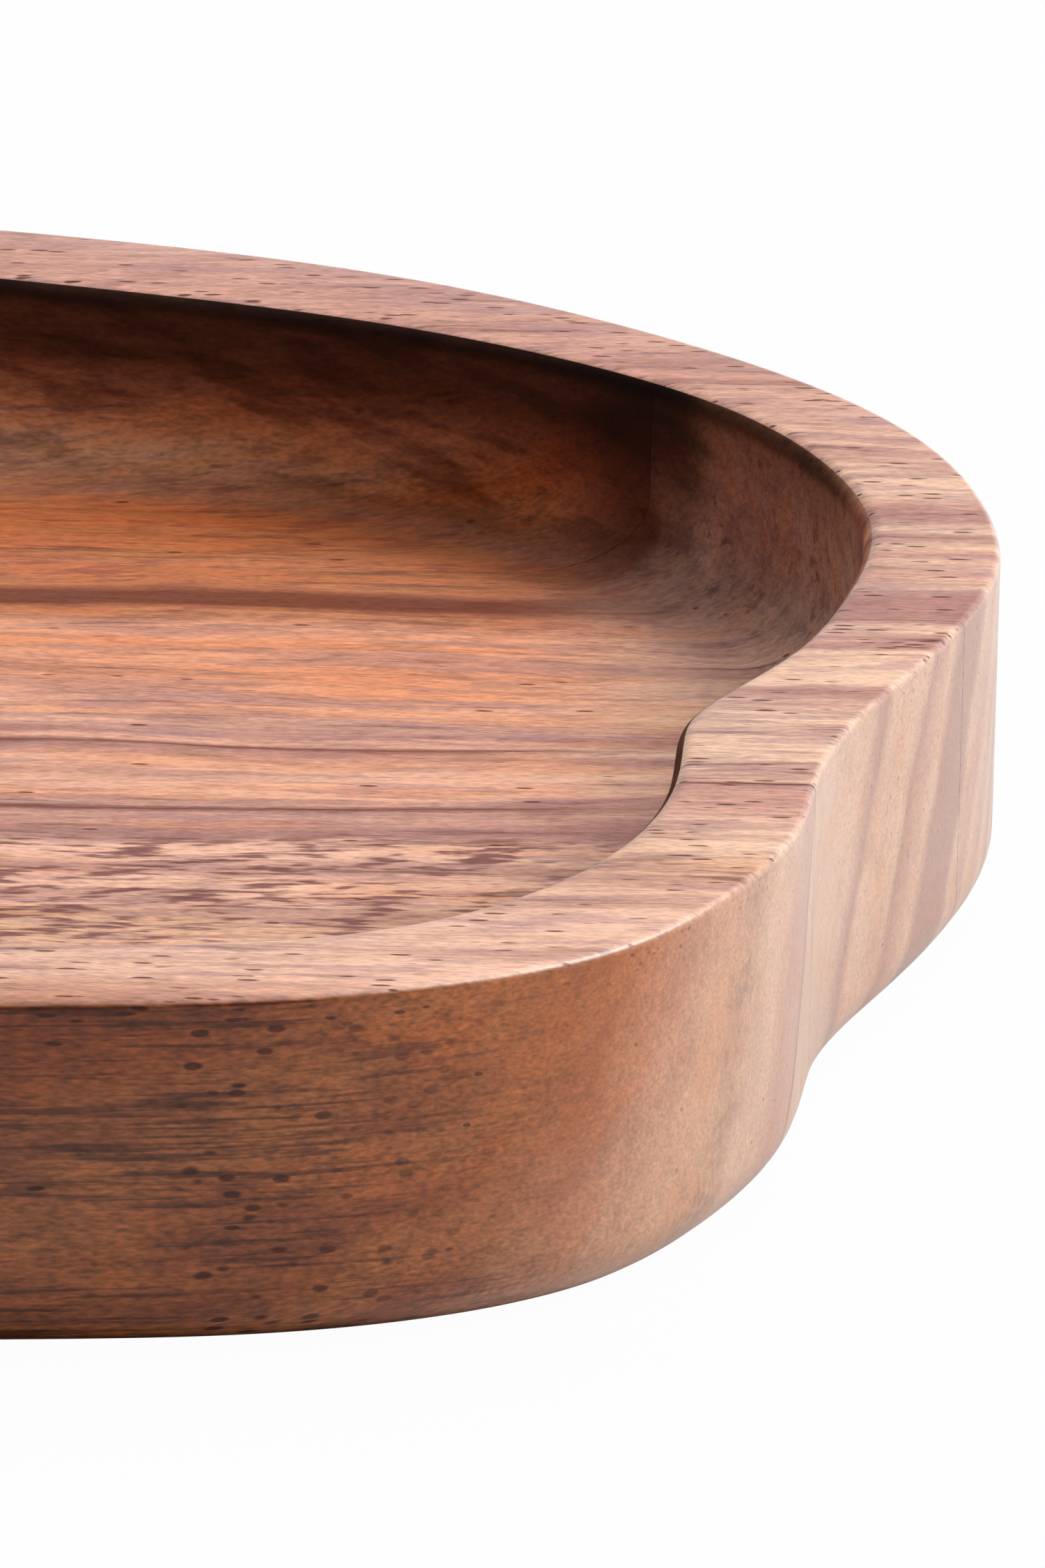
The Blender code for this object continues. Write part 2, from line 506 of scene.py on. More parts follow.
# %% A material
class Finish(Nodes):
    """A new material, with the patterns that wood needs."""

    def __init__(self, name):
        self.material = bpy.data.materials.new(name)
        super().__init__(self.material)

    def place(self):
        """The place on the board, in metres."""
        return self.node("TexCoord", output="Object")

    def vector(self, x, y, z):
        """A place from three numbers."""
        return self.node("CombineXYZ", None, {0: x, 1: y, 2: z})

    def noise(self, place, stretch, detail=3, offset=(0, 0, 0)):
        """Noise around 0.5, whose cells have the given size in metres along X, Y and Z."""
        scale = [1 / size for size in stretch]
        moved = self.node("Mapping", None, {"Vector": place, "Scale": scale, "Location": offset})
        return self.node("TexNoise", None, {"Vector": moved, "Scale": 1, "Detail": detail}, "Fac")

    def grain(self, place, stretch, edge, detail=3, offset=(0, 0, 0)):
        """Patches of noise. The edge is where they begin and where they are full."""
        return self.step(self.noise(place, stretch, detail, offset), *edge)


# %% [markdown]
# ## The wood
#
# The pattern of the wood is solid: it is worked out in space and the surface only shows where it cuts
# through, which is why a streak on the rim runs on down the wall. The tree grew along X, in layers
# that stand at a slant in the board, so the place that matters most is the depth of a point in the
# tree, counted across those layers. A lean that all the boards share is added to each board's slant,
# and two slow waves keep the layers from being flat. A picture wrapped round the board could show
# the same streaks, but it would break at every edge.

# %% Where a point lies in the tree
LAYER_LEAN = 0.2518
WIDE_WAVE_HEIGHT = 0.0021
WIDE_WAVE_STRETCH = (0.070, 0.020, 0.030)
SMALL_WAVE_HEIGHT = 0.0010
SMALL_WAVE_STRETCH = (0.018, 0.0040, 0.0080)


def growth_place(finish, slant):
    """How deep a point lies across the layers, and how far along them, in metres."""
    x, y, z = finish.axes(finish.place())
    depth = y * math.cos(slant) - z * math.sin(slant) + (z - TRAY_HEIGHT) * LAYER_LEAN
    along = y * math.sin(slant) + z * math.cos(slant)
    straight = finish.vector(x, depth, along)
    wide = finish.noise(straight, WIDE_WAVE_STRETCH, detail=2) - 0.5
    small = finish.noise(straight, SMALL_WAVE_STRETCH) - 0.5
    depth = depth + wide * (2 * WIDE_WAVE_HEIGHT) + small * (2 * SMALL_WAVE_HEIGHT)
    return depth, along


# %% The finish of one board
# Each pair says where a mask is 0 and where it is 1: by the part of the normal that points along X or
# up, by the mark, or by the metres below the rim.
ACROSS_TO_LENGTHWISE = (0.70, 0.15)
FLOOR_TO_WALL = (0.92, 0.45)
INSIDE_EDGE = (0.05, 0.4)
RIM_TO_CARVING = (0.0010, 0.0030)


class Wood(Finish):
    """The finish of one board, with the places and masks that its patterns share."""

    def __init__(self, name, slant):
        super().__init__(name)
        self.spot = self.place()
        self.x, self.y, self.height = self.axes(self.spot)
        self.depth, self.along = growth_place(self, slant)
        self.layers = self.vector(self.x, self.depth, self.along)
        self.normal = self.axes(self.node("TexCoord", output="Normal"))
        self.below = TRAY_HEIGHT - self.height
        self.outside = self.mark("outside")
        self.lengthwise = self.step(abs(self.normal[0]), *ACROSS_TO_LENGTHWISE)
        self.carved = self.step(self.below, *RIM_TO_CARVING)
        steep = self.step(self.normal[2], *FLOOR_TO_WALL)
        lip = self.step(self.below, 2 * LIP_RADIUS, LIP_RADIUS)
        self.well_wall = self.step(self.mark("inside"), *INSIDE_EDGE) * self.larger(steep, lip)

    def mark(self, name):
        """How far a place lies on a wall or on the arris."""
        return self.node("Attribute", {"attribute_name": name}, output="Fac")


# %% [markdown]
# ## The colours of the layers
#
# Acacia is a pale honey wood with rose, mauve and dark purple layers in it. A Color Ramp is the tool
# for that: it is read like a drill core, from the front of the plank to its back, and each stop is a
# depth in millimetres with the colour of the wood there. The three front boards were sawn side by
# side from one plank, so they share their cores. The back board is turned over, and has its own.
# Layers change along the tree as well, so there is one core for the middle of the tray and one for
# its end. The fourth number of a colour isn't its opacity: it says how strongly flecks are drawn.

# %% The colours
PALE = (0.94, 0.565, 0.415, 0.2)
CREAM = (0.92, 0.595, 0.425, 0.15)
PEACH = (0.93, 0.50, 0.34, 0.2)
HONEY = (0.94, 0.54, 0.35, 0.2)
TAN = (0.60, 0.25, 0.145, 0.3)
GOLD = (0.90, 0.40, 0.23, 0.3)
AMBER = (0.62, 0.22, 0.105, 0.5)
EMBER = (0.22, 0.07, 0.04, 0.3)
ROSE = (0.72, 0.38, 0.29, 0.3)
FLECKED = (0.98, 0.56, 0.40, 1.0)
NETTED = (0.76, 0.43, 0.27, 1.0)
MAUVE = (0.50, 0.25, 0.21, 0.3)
PLUM = (0.24, 0.085, 0.07, 0.3)

# %% The plank's core at the middle of the tray
PLANK_MIDDLE = (
    (-73.0, TAN),
    (-67.0, TAN),
    (-64.0, PALE),
    (-55.0, PALE),
    (-47.0, HONEY),
    (-35.0, HONEY),
    (-33.0, FLECKED),
    (-24.8, NETTED),
    (-23.6, FLECKED),
    (-15.0, FLECKED),
    (-14.0, MAUVE),
    (-13.5, MAUVE),
    (-12.8, ROSE),
    (-10.8, ROSE),
    (-10.5, PLUM),
    (-10.1, PLUM),
    (-9.8, ROSE),
    (-8.4, PEACH),
    (-3.6, PEACH),
    (-2.5, ROSE),
    (-2.2, PLUM),
    (-1.9, PLUM),
    (-1.6, PEACH),
    (-0.2, ROSE),
    (1.4, PEACH),
    (7.0, GOLD),
    (13.5, GOLD),
    (16.0, AMBER),
    (16.8, EMBER),
    (18.6, EMBER),
    (19.8, AMBER),
    (32.0, AMBER),
)
print("the plank changes", len(PLANK_MIDDLE), "times at its middle")

# %% The plank's core at the tray's end
PLANK_END = (
    (-55.0, PALE),
    (-51.0, HONEY),
    (-48.5, NETTED),
    (-46.5, CREAM),
    (-44.0, CREAM),
    (-42.0, ROSE),
    (-38.6, ROSE),
    (-38.45, PLUM),
    (-38.35, PLUM),
    (-38.2, CREAM),
    (-27.2, CREAM),
    (-25.5, MAUVE),
    (-24.6, CREAM),
    (-20.2, CREAM),
    (-19.6, MAUVE),
    (-18.8, ROSE),
    (-16.8, CREAM),
    (-15.6, MAUVE),
    (-12.0, MAUVE),
    (-11.0, CREAM),
    (-8.8, ROSE),
    (-8.0, CREAM),
    (-6.3, ROSE),
    (-5.4, CREAM),
    (-3.4, MAUVE),
    (-2.6, CREAM),
    (-0.6, MAUVE),
    (0.8, ROSE),
    (2.0, CREAM),
    (20.6, ROSE),
    (21.4, PLUM),
    (30.0, PLUM),
)
print("the plank changes", len(PLANK_END), "times at its end")

# %% The back board's two cores
BACK_MIDDLE = (
    (37.0, AMBER),
    (43.0, AMBER),
    (46.0, ROSE),
    (72.0, ROSE),
)
BACK_END = (
    (37.0, PLUM),
    (44.0, PLUM),
    (46.0, ROSE),
    (49.0, MAUVE),
    (50.5, ROSE),
    (72.0, ROSE),
)
print("the back board changes", len(BACK_MIDDLE), "and", len(BACK_END), "times")

# %% Read the cores
MIDDLE_TO_END = (0.118, 0.134)


def read_core(wood, core):
    """The colour of the wood at its depth, and how strongly it is flecked there."""
    low = core[0][0]
    high = core[-1][0]
    stops = [((place - low) / (high - low), colour) for place, colour in core]
    reading = (wood.depth * 1000 - low) / (high - low)
    colour = wood.node("ValToRGB", {"stops": stops}, {0: reading}, "Color")
    flecked = wood.node("ValToRGB", {"stops": stops}, {0: reading}, "Alpha")
    return colour, flecked


def layer_colour(wood, cores):
    """The colour read off two cores, the second of which holds at the tray's right end."""
    end = wood.step(wood.x, *MIDDLE_TO_END)
    middle_colour, middle_flecks = read_core(wood, cores[0])
    end_colour, end_flecks = read_core(wood, cores[1])
    flecked = wood.between(end, middle_flecks, end_flecks)
    return wood.blend(end, middle_colour, end_colour), flecked


# %% [markdown]
# ## Bands, flecks and lines
#
# Between the broad layers lie finer things, all drawn out along the grain. No two are alike, so they
# are made of noise that is stretched along X, and not listed one by one. Golden and mauve bands come
# first. Flecks lie in flames, which cross the layers at a slant, and only where the core calls for
# them. Violet and smoky lines are the finest. The saw left smoky streaks on the long outer walls,
# which run level and not with the layers.

# %% Bands
GILT = (1.0, 0.80, 0.62, 1)
GILT_BANDS = {"stretch": (0.030, 0.0024, 0.0060), "edge": (0.48, 0.60), "offset": (4, 9, 2)}
MAUVE_BANDS = {"stretch": (0.030, 0.0022, 0.0050), "edge": (0.47, 0.63), "detail": 4}
GILT_ON_RIM = 0.10
GILT_ON_CARVING = 0.55
MAUVE_ACROSS = 0.25
MAUVE_LENGTHWISE = 0.60


def add_bands(wood, colour):
    """The colour with its bands, and where the mauve ones are."""
    gilt = wood.grain(wood.layers, **GILT_BANDS)
    strength = wood.between(wood.carved, GILT_ON_RIM, GILT_ON_CARVING)
    colour = wood.blend(gilt * strength, colour, GILT, "MULTIPLY")
    mauve = wood.grain(wood.layers, **MAUVE_BANDS)
    strength = wood.between(wood.lengthwise, MAUVE_ACROSS, MAUVE_LENGTHWISE)
    return wood.blend(mauve * strength, colour, MAUVE, "DARKEN"), mauve


# %% Flecks
GRAPE = (0.22, 0.080, 0.080, 1)
FLAME_SLANT = 0.35
PATCH_STRETCH = (0.0060, 0.0017, 0.0030)
THREAD_STRETCH = (0.0026, 0.00040, 0.0007)
THREAD_SHARE = 0.55
FLECK_EDGE = (0.48, 0.60)
FLECK_ACROSS = 0.5
FLECK_LENGTHWISE = 0.9


def add_flecks(wood, colour, flecked):
    """The colour with dashes of grape in it, which are threads that thicken in the flames."""
    flames = wood.vector(wood.x, wood.depth - wood.x * FLAME_SLANT, wood.along)
    patch = wood.noise(flames, PATCH_STRETCH, detail=2) * (1 - THREAD_SHARE)
    thread = wood.noise(wood.layers, THREAD_STRETCH) * THREAD_SHARE
    fleck = wood.step(thread + patch, *FLECK_EDGE)
    strength = wood.between(wood.lengthwise, FLECK_ACROSS, FLECK_LENGTHWISE)
    return wood.blend(fleck * flecked * strength, colour, GRAPE)


# %% Lines
VIOLET = (0.42, 0.23, 0.25, 1)
SMOKE = (0.14, 0.050, 0.036, 1)
VIOLET_LINES = {
    "stretch": (0.0090, 0.00080, 0.0014),
    "edge": (0.52, 0.62),
    "detail": 4,
    "offset": (2, 5, 7),
}
SMOKY_LINES = {"stretch": (0.0120, 0.00050, 0.0006), "edge": (0.54, 0.66)}
VIOLET_STRENGTH = 0.45
SMOKY_EVERYWHERE = 0.10
SMOKY_IN_MAUVE = 0.35
SMOKY_IN_FLECKED = 0.20


def add_lines(wood, colour, mauve, flecked):
    """The colour with fine lines, which are thickest in the mauve bands and among the flecks."""
    sanded = 1 - wood.outside
    violet = wood.grain(wood.layers, **VIOLET_LINES)
    colour = wood.blend(violet * sanded * VIOLET_STRENGTH, colour, VIOLET, "DARKEN")
    smoky = wood.grain(wood.layers, **SMOKY_LINES) * sanded
    strength = SMOKY_EVERYWHERE + mauve * SMOKY_IN_MAUVE + flecked * SMOKY_IN_FLECKED
    return wood.blend(smoky * strength, colour, SMOKE)


# %% Streaks
STREAK_STRETCH = (0.0100, 0.0030, 0.00030)
CLOUD_STRETCH = (0.0200, 0.0060, 0.0030)
STREAK_SHARE = 0.65
STREAK_EDGE = (0.50, 0.62)
STREAK_STRENGTH = 0.75


def add_streaks(wood, colour):
    """The colour with the saw's streaks on the long outer walls."""
    cloud = wood.noise(wood.spot, CLOUD_STRETCH, detail=2) * (1 - STREAK_SHARE)
    streak = wood.noise(wood.spot, STREAK_STRETCH) * STREAK_SHARE
    streak = wood.step(streak + cloud, *STREAK_EDGE) * wood.outside * wood.lengthwise
    return wood.blend(streak * STREAK_STRENGTH, colour, SMOKE)


# %% [markdown]
# ## Pores and fibre
#
# The pores are the cut ends and sides of long thin tubes: a cell pattern, stretched along the grain,
# makes dots on the end grain and dashes along the grain without being told which is which. Long vessels
# lie far apart, short specks lie in rows, and a column of wide pores climbs the outer walls near the
# right end, where they turn across the grain. Last comes the fibre, too fine to see one by one,
# which keeps a flat colour from looking flat.

# %% Open pores
INK = (0.140, 0.030, 0.016, 1)
INK_STRENGTH = 0.9
PORE_RIM_SHARE = 0.55
VESSELS = {"length": 0.0080, "spacing": 0.0018, "share": 0.09}
SPECKS = {"length": 0.0030, "spacing": 0.00058, "share": 0.27}
SPECK_ROWS = {"stretch": (0.007, 0.0012, 0.0060), "edge": (0.44, 0.54)}
WIDE_PORES = {"length": 0.0026, "spacing": 0.0011, "share": 0.28}


def tubes(wood, length, spacing, share):
    """Tubes along the grain of one length and spacing, which fill a share of their cells."""
    scale = (1 / length, 1 / spacing, 1 / spacing)
    moved = wood.node("Mapping", None, {"Vector": wood.spot, "Scale": scale})
    distance = wood.node("TexVoronoi", None, {"Vector": moved, "Scale": 1}, "Distance")
    return wood.step(distance, share, share * PORE_RIM_SHARE)


# %% All the pores of a board
COLUMN_LEAN = 0.09
COLUMN_LEFT = (0.1020, 0.1040)
COLUMN_RIGHT = (0.1300, 0.1060)
SPECKS_FILLED_IN_CARVING = 0.7
PORES_FILLED_IN_WELL = 0.8
PORES_FILLED_AT_END = 0.5


def open_pores(wood):
    """1 in a pore, and less on the well's wall and the end wall, where oil or dust fills them."""
    rows = wood.grain(wood.layers, **SPECK_ROWS)
    specks = tubes(wood, **SPECKS) * rows * (1 - wood.carved * SPECKS_FILLED_IN_CARVING)
    column = wood.x + wood.height * COLUMN_LEAN
    column = wood.step(column, *COLUMN_LEFT) * wood.step(column, *COLUMN_RIGHT) * wood.outside
    specks = wood.larger(specks, tubes(wood, **WIDE_PORES) * column)
    end_grain = wood.outside * (1 - wood.lengthwise)
    found = wood.larger(tubes(wood, **VESSELS), specks)
    found = found * (1 - wood.well_wall * PORES_FILLED_IN_WELL)
    return found * (1 - end_grain * PORES_FILLED_AT_END)


# %% Fibre
STRAND_STRETCH = (0.0050, 0.00045, 0.0006)
FIBRE_STRETCH = (0.0008, 0.00022, 0.00022)
BRIGHTNESS = 1.04
STRAND_CONTRAST = 0.5
FIBRE_CONTRAST = 1.1
ROUGH_SAWN_CONTRAST = 1.9


def add_fibre(wood, colour):
    """The colour made lighter and darker by strands and fibres, and the fibres themselves."""
    strand = wood.noise(wood.layers, STRAND_STRETCH, detail=4) - 0.5
    fibre = wood.noise(wood.spot, FIBRE_STRETCH) - 0.5
    contrast = wood.between(wood.outside * wood.lengthwise, 1, ROUGH_SAWN_CONTRAST)
    light = BRIGHTNESS + (strand * STRAND_CONTRAST + fibre * FIBRE_CONTRAST) * contrast
    colour = wood.node("VectorMath", {"operation": "SCALE"}, {"Vector": colour, "Scale": light})
    return colour, fibre


# %% [markdown]
# ## Painted light and shade, and oil
#
# The wall of the well is darker than the floor, most of all near its top and where it turns into the
# end: that is painted shade, because the wall faces away from the lights. The foot of the back wall is
# paler, which is painted light that comes back to it from the floor. The back corner and the lip get
# painted light and shade too, the end walls a painted sheen and the arris a painted highlight. Nearly
# all of these are tints that multiply the colour, each with a mask for where it lies. They could be
# painted by hand, but a mask needs no unwrapping.

# %% The back board
# Each pair, here and below, says where a mask is 0 and where it is 1: by the metres along the tray
# or across it, by the metres below the rim, or by the part of the normal that points back.
# The tint below is painted shade: it makes the floor and the wall of the back board, below the rim,
# darker and more orange.
BACK_CORNER_SHADE = (0.88, 0.68, 0.46, 1)
SUNK = (0.0030, 0.0045)
BACK_BOARD = (0.038, 0.048)


def shade_back_corner(wood, colour, at_the_end):
    """Paints shade, darker and more orange, on the back board below the rim, in the well's corner."""
    sunk = wood.step(wood.below, *SUNK) * (1 - wood.outside)
    sunk = sunk * wood.step(wood.y, *BACK_BOARD) * (1 - at_the_end)
    return wood.blend(sunk, colour, BACK_CORNER_SHADE, "MULTIPLY")


# %% The wall of the well
# These tints are painted light and shade. The back wall is brightened by painted light from the floor,
# which shows at its foot. Its top, the end wall, the turn into the end and the waist get painted shade.
SIDE_FOOT_LIGHT = (1.75, 2.40, 2.70, 1)
SIDE_TOP_SHADE = (0.13, 0.080, 0.060, 1)
END_FOOT_SHADE = (0.80, 0.88, 0.97, 1)
END_TOP_SHADE = (0.80, 0.80, 0.80, 1)
TURN_AND_WAIST_SHADE = (0.45, 0.38, 0.34, 1)
WALL_TOP = (0.0115, 0.0035)
TURN_LEFT = (0.1220, 0.1280)
TURN_RIGHT = (0.1330, 0.1305)
WAIST_FRONT = (-0.012, -0.004)
WAIST_BACK = (0.014, 0.004)
WAIST_STRENGTH = 0.6


def paint_wall_light_and_shade(wood, colour, back_and_end_walls, at_the_end):
    """Paints light at the foot of the back wall, and shade at its top, on the end wall, at the turn
    into the end and at the waist.
    """
    foot_light_and_shade = wood.blend(at_the_end, SIDE_FOOT_LIGHT, END_FOOT_SHADE)
    top_shade = wood.blend(at_the_end, SIDE_TOP_SHADE, END_TOP_SHADE)
    colour = wood.blend(back_and_end_walls, colour, foot_light_and_shade, "MULTIPLY")
    colour = wood.blend(back_and_end_walls * wood.step(wood.below, *WALL_TOP), colour, top_shade, "MULTIPLY")
    turn = wood.step(abs(wood.x), *TURN_LEFT) * wood.step(abs(wood.x), *TURN_RIGHT)
    waist = wood.step(wood.y, *WAIST_FRONT) * wood.step(wood.y, *WAIST_BACK) * at_the_end
    return wood.blend(back_and_end_walls * (turn + waist * WAIST_STRENGTH), colour, TURN_AND_WAIST_SHADE, "MULTIPLY")


# %% The lip
# The far lip and what lies just under it get painted shade, and the near lip gets painted warm light.
SHADE_UNDER_FAR_LIP = (0.62, 0.52, 0.44, 1)
FAR_LIP_SHADE = (0.34, 0.26, 0.20, 1)
NEAR_LIP_LIGHT = (1.40, 1.00, 0.72, 1)
FAR_TO_NEAR = (-0.35, 0.0)
UNDER_THE_RIM = (0.0060, 0.0010)
ON_THE_LIP = (LIP_RADIUS * 1.5, LIP_RADIUS * 0.7)


def paint_lip_light_and_shade(wood, colour):
    """Paints shade on the far lip and on what lies just under it, and warm light on the near lip."""
    near = wood.step(wood.normal[1], *FAR_TO_NEAR)
    under = wood.well_wall * wood.step(wood.below, *UNDER_THE_RIM) * (1 - near)
    colour = wood.blend(under, colour, SHADE_UNDER_FAR_LIP, "MULTIPLY")
    lip = wood.well_wall * wood.step(wood.below, *ON_THE_LIP)
    return wood.blend(lip, colour, wood.blend(near, FAR_LIP_SHADE, NEAR_LIP_LIGHT), "MULTIPLY")


# %% Rubbed places
RUBBED = (0.32, 0.25, 0.22, 1)
RUBBED_PLACES = {"stretch": (0.0080, 0.0060, 0.0020), "edge": (0.46, 0.64), "detail": 4}
RUBBED_RISE = 0.20
RUBBED_AT_SIDE = 0.70
RUBBED_AT_END = 0.15


def rub_wall(wood, colour, back_and_end_walls, at_the_end):
    """Darkens cloudy places on the well's wall, which slope along it."""
    rising = wood.vector(wood.x, wood.depth, wood.height + wood.x * RUBBED_RISE)
    rubbed = wood.grain(rising, **RUBBED_PLACES) * back_and_end_walls
    strength = wood.between(at_the_end, RUBBED_AT_SIDE, RUBBED_AT_END)
    return wood.blend(rubbed * strength, colour, RUBBED, "MULTIPLY")


# %% The outer wall and the arris
OILED_WALL = (0.53, 0.275, 0.115, 1)
# The pale cream mixed into the end walls is a painted sheen, which veils their bands.
END_WALL_SHEEN = (0.88, 0.60, 0.46, 1)
END_WALL = (0.78, 0.73, 0.68, 1)
# The pale cream on the arris at the right end is a painted highlight.
ARRIS_HIGHLIGHT = (0.90, 0.80, 0.72, 1)
END_TO_LONG_SIDE = (0.046, 0.060)
ARRIS_START = (0.108, 0.128)
END_WALL_SHEEN_STRENGTH = 0.3
ARRIS_HIGHLIGHT_STRENGTH = 0.1


def oil_outside_and_paint_sheen(wood, colour):
    """Oils the long outer walls, paints a sheen on the end walls and tints them, and paints a highlight
    on the arris at the right end.
    """
    long_side = wood.step(abs(wood.depth), *END_TO_LONG_SIDE)
    colour = wood.blend(wood.outside * long_side, colour, OILED_WALL, "MULTIPLY")
    end_wall = wood.outside * (1 - long_side)
    colour = wood.blend(end_wall * END_WALL_SHEEN_STRENGTH, colour, END_WALL_SHEEN)
    colour = wood.blend(end_wall, colour, END_WALL, "MULTIPLY")
    arris = wood.mark("arris") * wood.step(wood.x, *ARRIS_START)
    return wood.blend(arris * ARRIS_HIGHLIGHT_STRENGTH, colour, ARRIS_HIGHLIGHT)


# %% All the tints
SIDE_TO_END = (0.1300, 0.1345)
WELL_END = (0.095, 0.115)
WELL_BACK = (-0.010, 0.010)


def add_tints_and_painted_light(wood, colour):
    """The colour with the painted light and shade and the rubbed places of the well, and then the outer
    wall's tints, painted sheen and painted highlight.
    """
    at_the_end = wood.step(abs(wood.x), *SIDE_TO_END)
    back_or_end = wood.larger(wood.step(wood.y, *WELL_BACK), wood.step(abs(wood.x), *WELL_END))
    back_and_end_walls = wood.well_wall * back_or_end
    colour = shade_back_corner(wood, colour, at_the_end)
    colour = paint_wall_light_and_shade(wood, colour, back_and_end_walls, at_the_end)
    colour = paint_lip_light_and_shade(wood, colour)
    colour = rub_wall(wood, colour, back_and_end_walls, at_the_end)
    return oil_outside_and_paint_sheen(wood, colour)


# %% [markdown]
# ## The whole finish
#
# The patterns are laid over the colour of the layers one by one, from the broad to the fine, and the
# tints come last. The fibre and the pores also go into a Bump node, so that they catch the light. The
# oil is a thin coat with a soft sheen, and the wall of the well, which is never polished, has next to
# none.

# %% Put the finish together
FIBRE_HEIGHT = 0.00002
PORE_DEPTH = 0.00006
SANDED_ROUGHNESS = 0.42
PORE_ROUGHNESS = 0.2
WELL_ROUGHNESS = 0.3
WOOD_IOR = 1.38
OIL_IOR = 1.36
OIL_ROUGHNESS = 0.30
OIL_ON_WELL_WALL = 0.05


def oiled_surface(wood, colour, pore, relief):
    """The surface of the wood, with its colour, its sheen and its coat of oil."""
    bump = wood.node("Bump", None, {"Height": relief, "Distance": 1, "Strength": 1})
    inputs = {
        "Base Color": colour,
        "Roughness": SANDED_ROUGHNESS + pore * PORE_ROUGHNESS + wood.well_wall * WELL_ROUGHNESS,
        "Normal": bump,
        "IOR": WOOD_IOR,
        "Coat Weight": wood.between(wood.well_wall, 1, OIL_ON_WELL_WALL),
        "Coat IOR": OIL_IOR,
        "Coat Roughness": OIL_ROUGHNESS,
    }
    return wood.node("BsdfPrincipled", None, inputs)


def board_finish(name, slant, cores):
    """The material of one board, from the slant of its layers and its two cores."""
    wood = Wood(name, slant)
    colour, flecked = layer_colour(wood, cores)
    colour, mauve = add_bands(wood, colour)
    colour = add_flecks(wood, colour, flecked)
    colour = add_lines(wood, colour, mauve, flecked)
    colour = add_streaks(wood, colour)
    pore = open_pores(wood)
    colour = wood.blend(pore * INK_STRENGTH, colour, INK)
    colour, fibre = add_fibre(wood, colour)
    colour = add_tints_and_painted_light(wood, colour)
    relief = fibre * (1 - wood.mark("arris")) * FIBRE_HEIGHT - pore * PORE_DEPTH
    wood.node("OutputMaterial", None, {"Surface": oiled_surface(wood, colour, pore, relief)})
    return wood.material


# %% Four boards, four finishes
SLANT = math.radians(38)
off_upright = math.atan((math.sin(SLANT) - LAYER_LEAN) / math.cos(SLANT))
print("the plank's layers stand", round(math.degrees(off_upright), 1), "degrees off upright")
PLANK = (PLANK_MIDDLE, PLANK_END)
BACK = (BACK_MIDDLE, BACK_END)
WOODS = {
    "stave_front": (SLANT, PLANK),
    "stave_mid_front": (SLANT, PLANK),
    "stave_mid_back": (SLANT, PLANK),
    "stave_back": (-SLANT, BACK),
}
for stave, (slant, cores) in WOODS.items():
    material = board_finish(stave + "_acacia", slant, cores)
    boards[stave].data.materials.append(material)
    print(material.name, "has", len(material.node_tree.nodes), "nodes")

# %% [markdown]
# ## Putting the boards in the frame
#
# Every board stands for one node of the imported tray and moves with its only body.

# %% Ride and replace
for stave, board in boards.items():
    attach(board, "root")
    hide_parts(stave)
    stave.replace("stave_", "") + "_wood"
    print(board.name, "stands for", stave)

# %% [markdown]
# ## The studio
#
# The tray stands on plain white, but only the camera sees it as white, and what is mirrored towards
# the back. To the light it is grey paper in a dim room, because a room that is really white would
# fill the shadows. One soft light stands on the right and one hangs behind, so the rim and the end
# wall are bright, while the near wall and the inside of the far wall face away from them.


# %% What is seen as white
def white_share(nodes, towards_the_back):
    """1 where the white backdrop is seen: by the camera, and by gloss and glass towards the back."""
    rays = nodes.node("LightPath", output="Is Camera Ray")
    gloss = nodes.node("LightPath", output="Is Glossy Ray")
    glass = nodes.node("LightPath", output="Is Transmission Ray")
    return nodes.larger(rays, nodes.larger(gloss, glass) * towards_the_back)


# %% Floor
FLOOR_RADIUS = 3
FLOOR_GAP = 0.0002
BEHIND_THE_TRAY = (-0.05, 0.15)
PAPER = (0.62, 0.62, 0.62, 1)
WHITE = (1, 1, 1, 1)
WHITENESS = 0.97
bpy.ops.object.select_all(action="DESELECT")
bpy.ops.mesh.primitive_circle_add(
    vertices=64,
    radius=FLOOR_RADIUS,
    fill_type="NGON",
    location=(0, 0, -FLOOR_GAP),
)
floor = bpy.context.object
floor.name = "floor"
white = Finish("white_floor")
paper = white.node("BsdfPrincipled", None, {"Base Color": PAPER, "Roughness": 0.9})
glow = white.node("Emission", None, {"Color": WHITE, "Strength": 1})
seen = white_share(white, white.step(white.axes(white.place())[1], *BEHIND_THE_TRAY))
both = white.node("MixShader", None, {0: seen * WHITENESS, 1: paper, 2: glow})
white.node("OutputMaterial", None, {"Surface": both})
floor.data.materials.append(white.material)
print("floor radius in metres:", FLOOR_RADIUS)

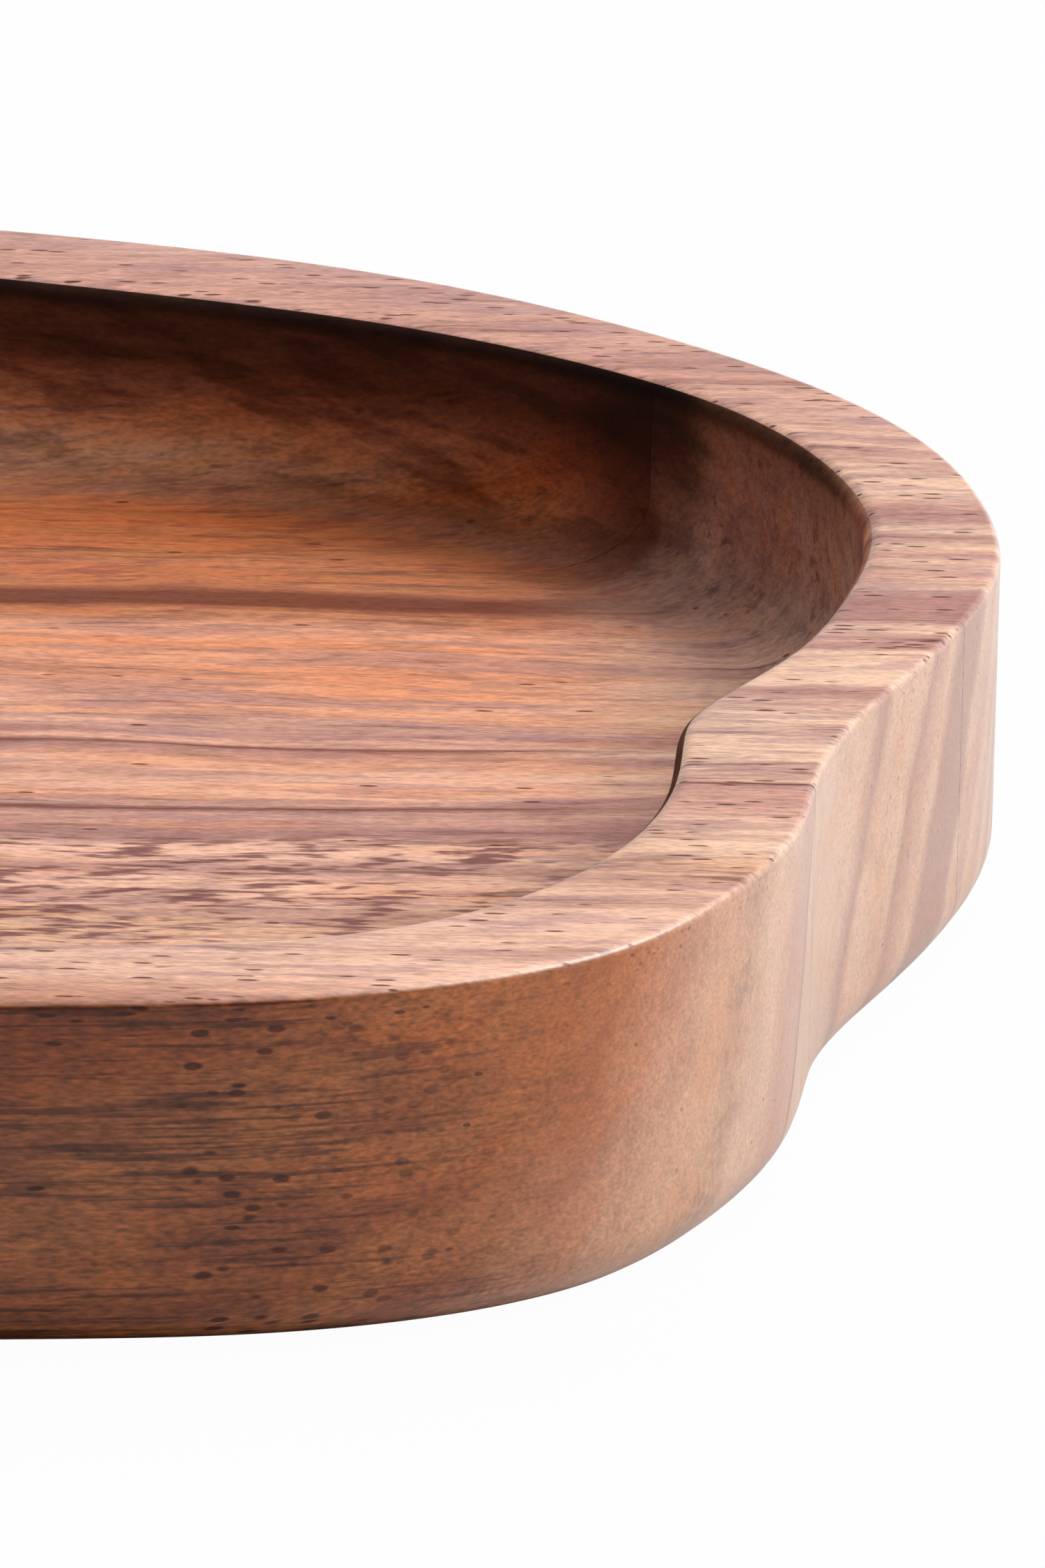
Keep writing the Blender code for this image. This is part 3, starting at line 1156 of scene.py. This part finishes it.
# %% Backdrop
DIM_ROOM = 0.06
ROOM_BACK = (-0.5, 0.2)
ROOM_FOOT = (0.20, 0.05)
world = bpy.data.worlds.new("studio")
bpy.context.scene.world = world
studio = Nodes(world)
_, y_share, z_share = studio.axes(studio.node("TexCoord", output="Generated"))
seen = white_share(studio, studio.step(y_share, *ROOM_BACK) * studio.step(z_share, *ROOM_FOOT))
brightness = studio.between(seen, DIM_ROOM, 1)
backdrop = studio.node("Background", None, {"Color": WHITE, "Strength": brightness})
studio.node("OutputWorld", None, {"Surface": backdrop})
print("the room shines at", DIM_ROOM)

# %% Soft lights
LIT_PLACE = Vector((0.10, 0, 0.02))
LIGHT_DISTANCE = 1.1


def soft_light(name, azimuth, elevation, size, brightness):
    """A soft box round the right end. Azimuth 0 is behind the tray and 90 is on its right."""
    turn = math.radians(azimuth)
    rise = math.radians(elevation)
    way = Vector((math.sin(turn) * math.cos(rise), math.cos(turn) * math.cos(rise), math.sin(rise)))
    bpy.ops.object.light_add(type="AREA", location=LIT_PLACE + way * LIGHT_DISTANCE)
    lamp = bpy.context.object
    lamp.name = name
    lamp.data.shape = "RECTANGLE"
    lamp.data.size, lamp.data.size_y = size
    lamp.data.energy = brightness * math.pi**2 * LIGHT_DISTANCE**2
    lamp.rotation_euler = (-way).to_track_quat("-Z", "Y").to_euler()
    print(name, "has", round(lamp.data.energy, 2), "watts")
    return lamp


soft_light("right_box", azimuth=90, elevation=42, size=(0.6, 0.6), brightness=1.02)
back_box = soft_light("back_box", azimuth=0, elevation=60, size=(1.0, 0.7), brightness=0.64)
back_box.visible_glossy = False

# %% [markdown]
# ## The camera
#
# A long lens looks down on the right end from the front, a little off level. Its place and its
# direction were fitted to the outlines of the rim and of the lower edge in the photograph.

# %% Place the camera
VIEW_FROM = Vector((0.12159, -0.83615, 0.32365))
VIEW_AT = Vector((0.120997, -0.032316, 0.022))
CAMERA_ROLL = math.radians(1.12)
FOCAL_LENGTH_MM = 336
SENSOR_WIDTH_MM = 36
bpy.ops.object.camera_add(location=VIEW_FROM)
camera = bpy.context.object
camera.data.lens = FOCAL_LENGTH_MM
camera.data.sensor_width = SENSOR_WIDTH_MM
camera.rotation_mode = "QUATERNION"
aim = (VIEW_AT - VIEW_FROM).to_track_quat("-Z", "Y")
camera.rotation_quaternion = aim @ Quaternion((0, 0, 1), CAMERA_ROLL)
bpy.context.scene.camera = camera
bpy.context.scene.view_settings.view_transform = "Standard"
print("camera distance in metres:", round((VIEW_AT - VIEW_FROM).length, 3))
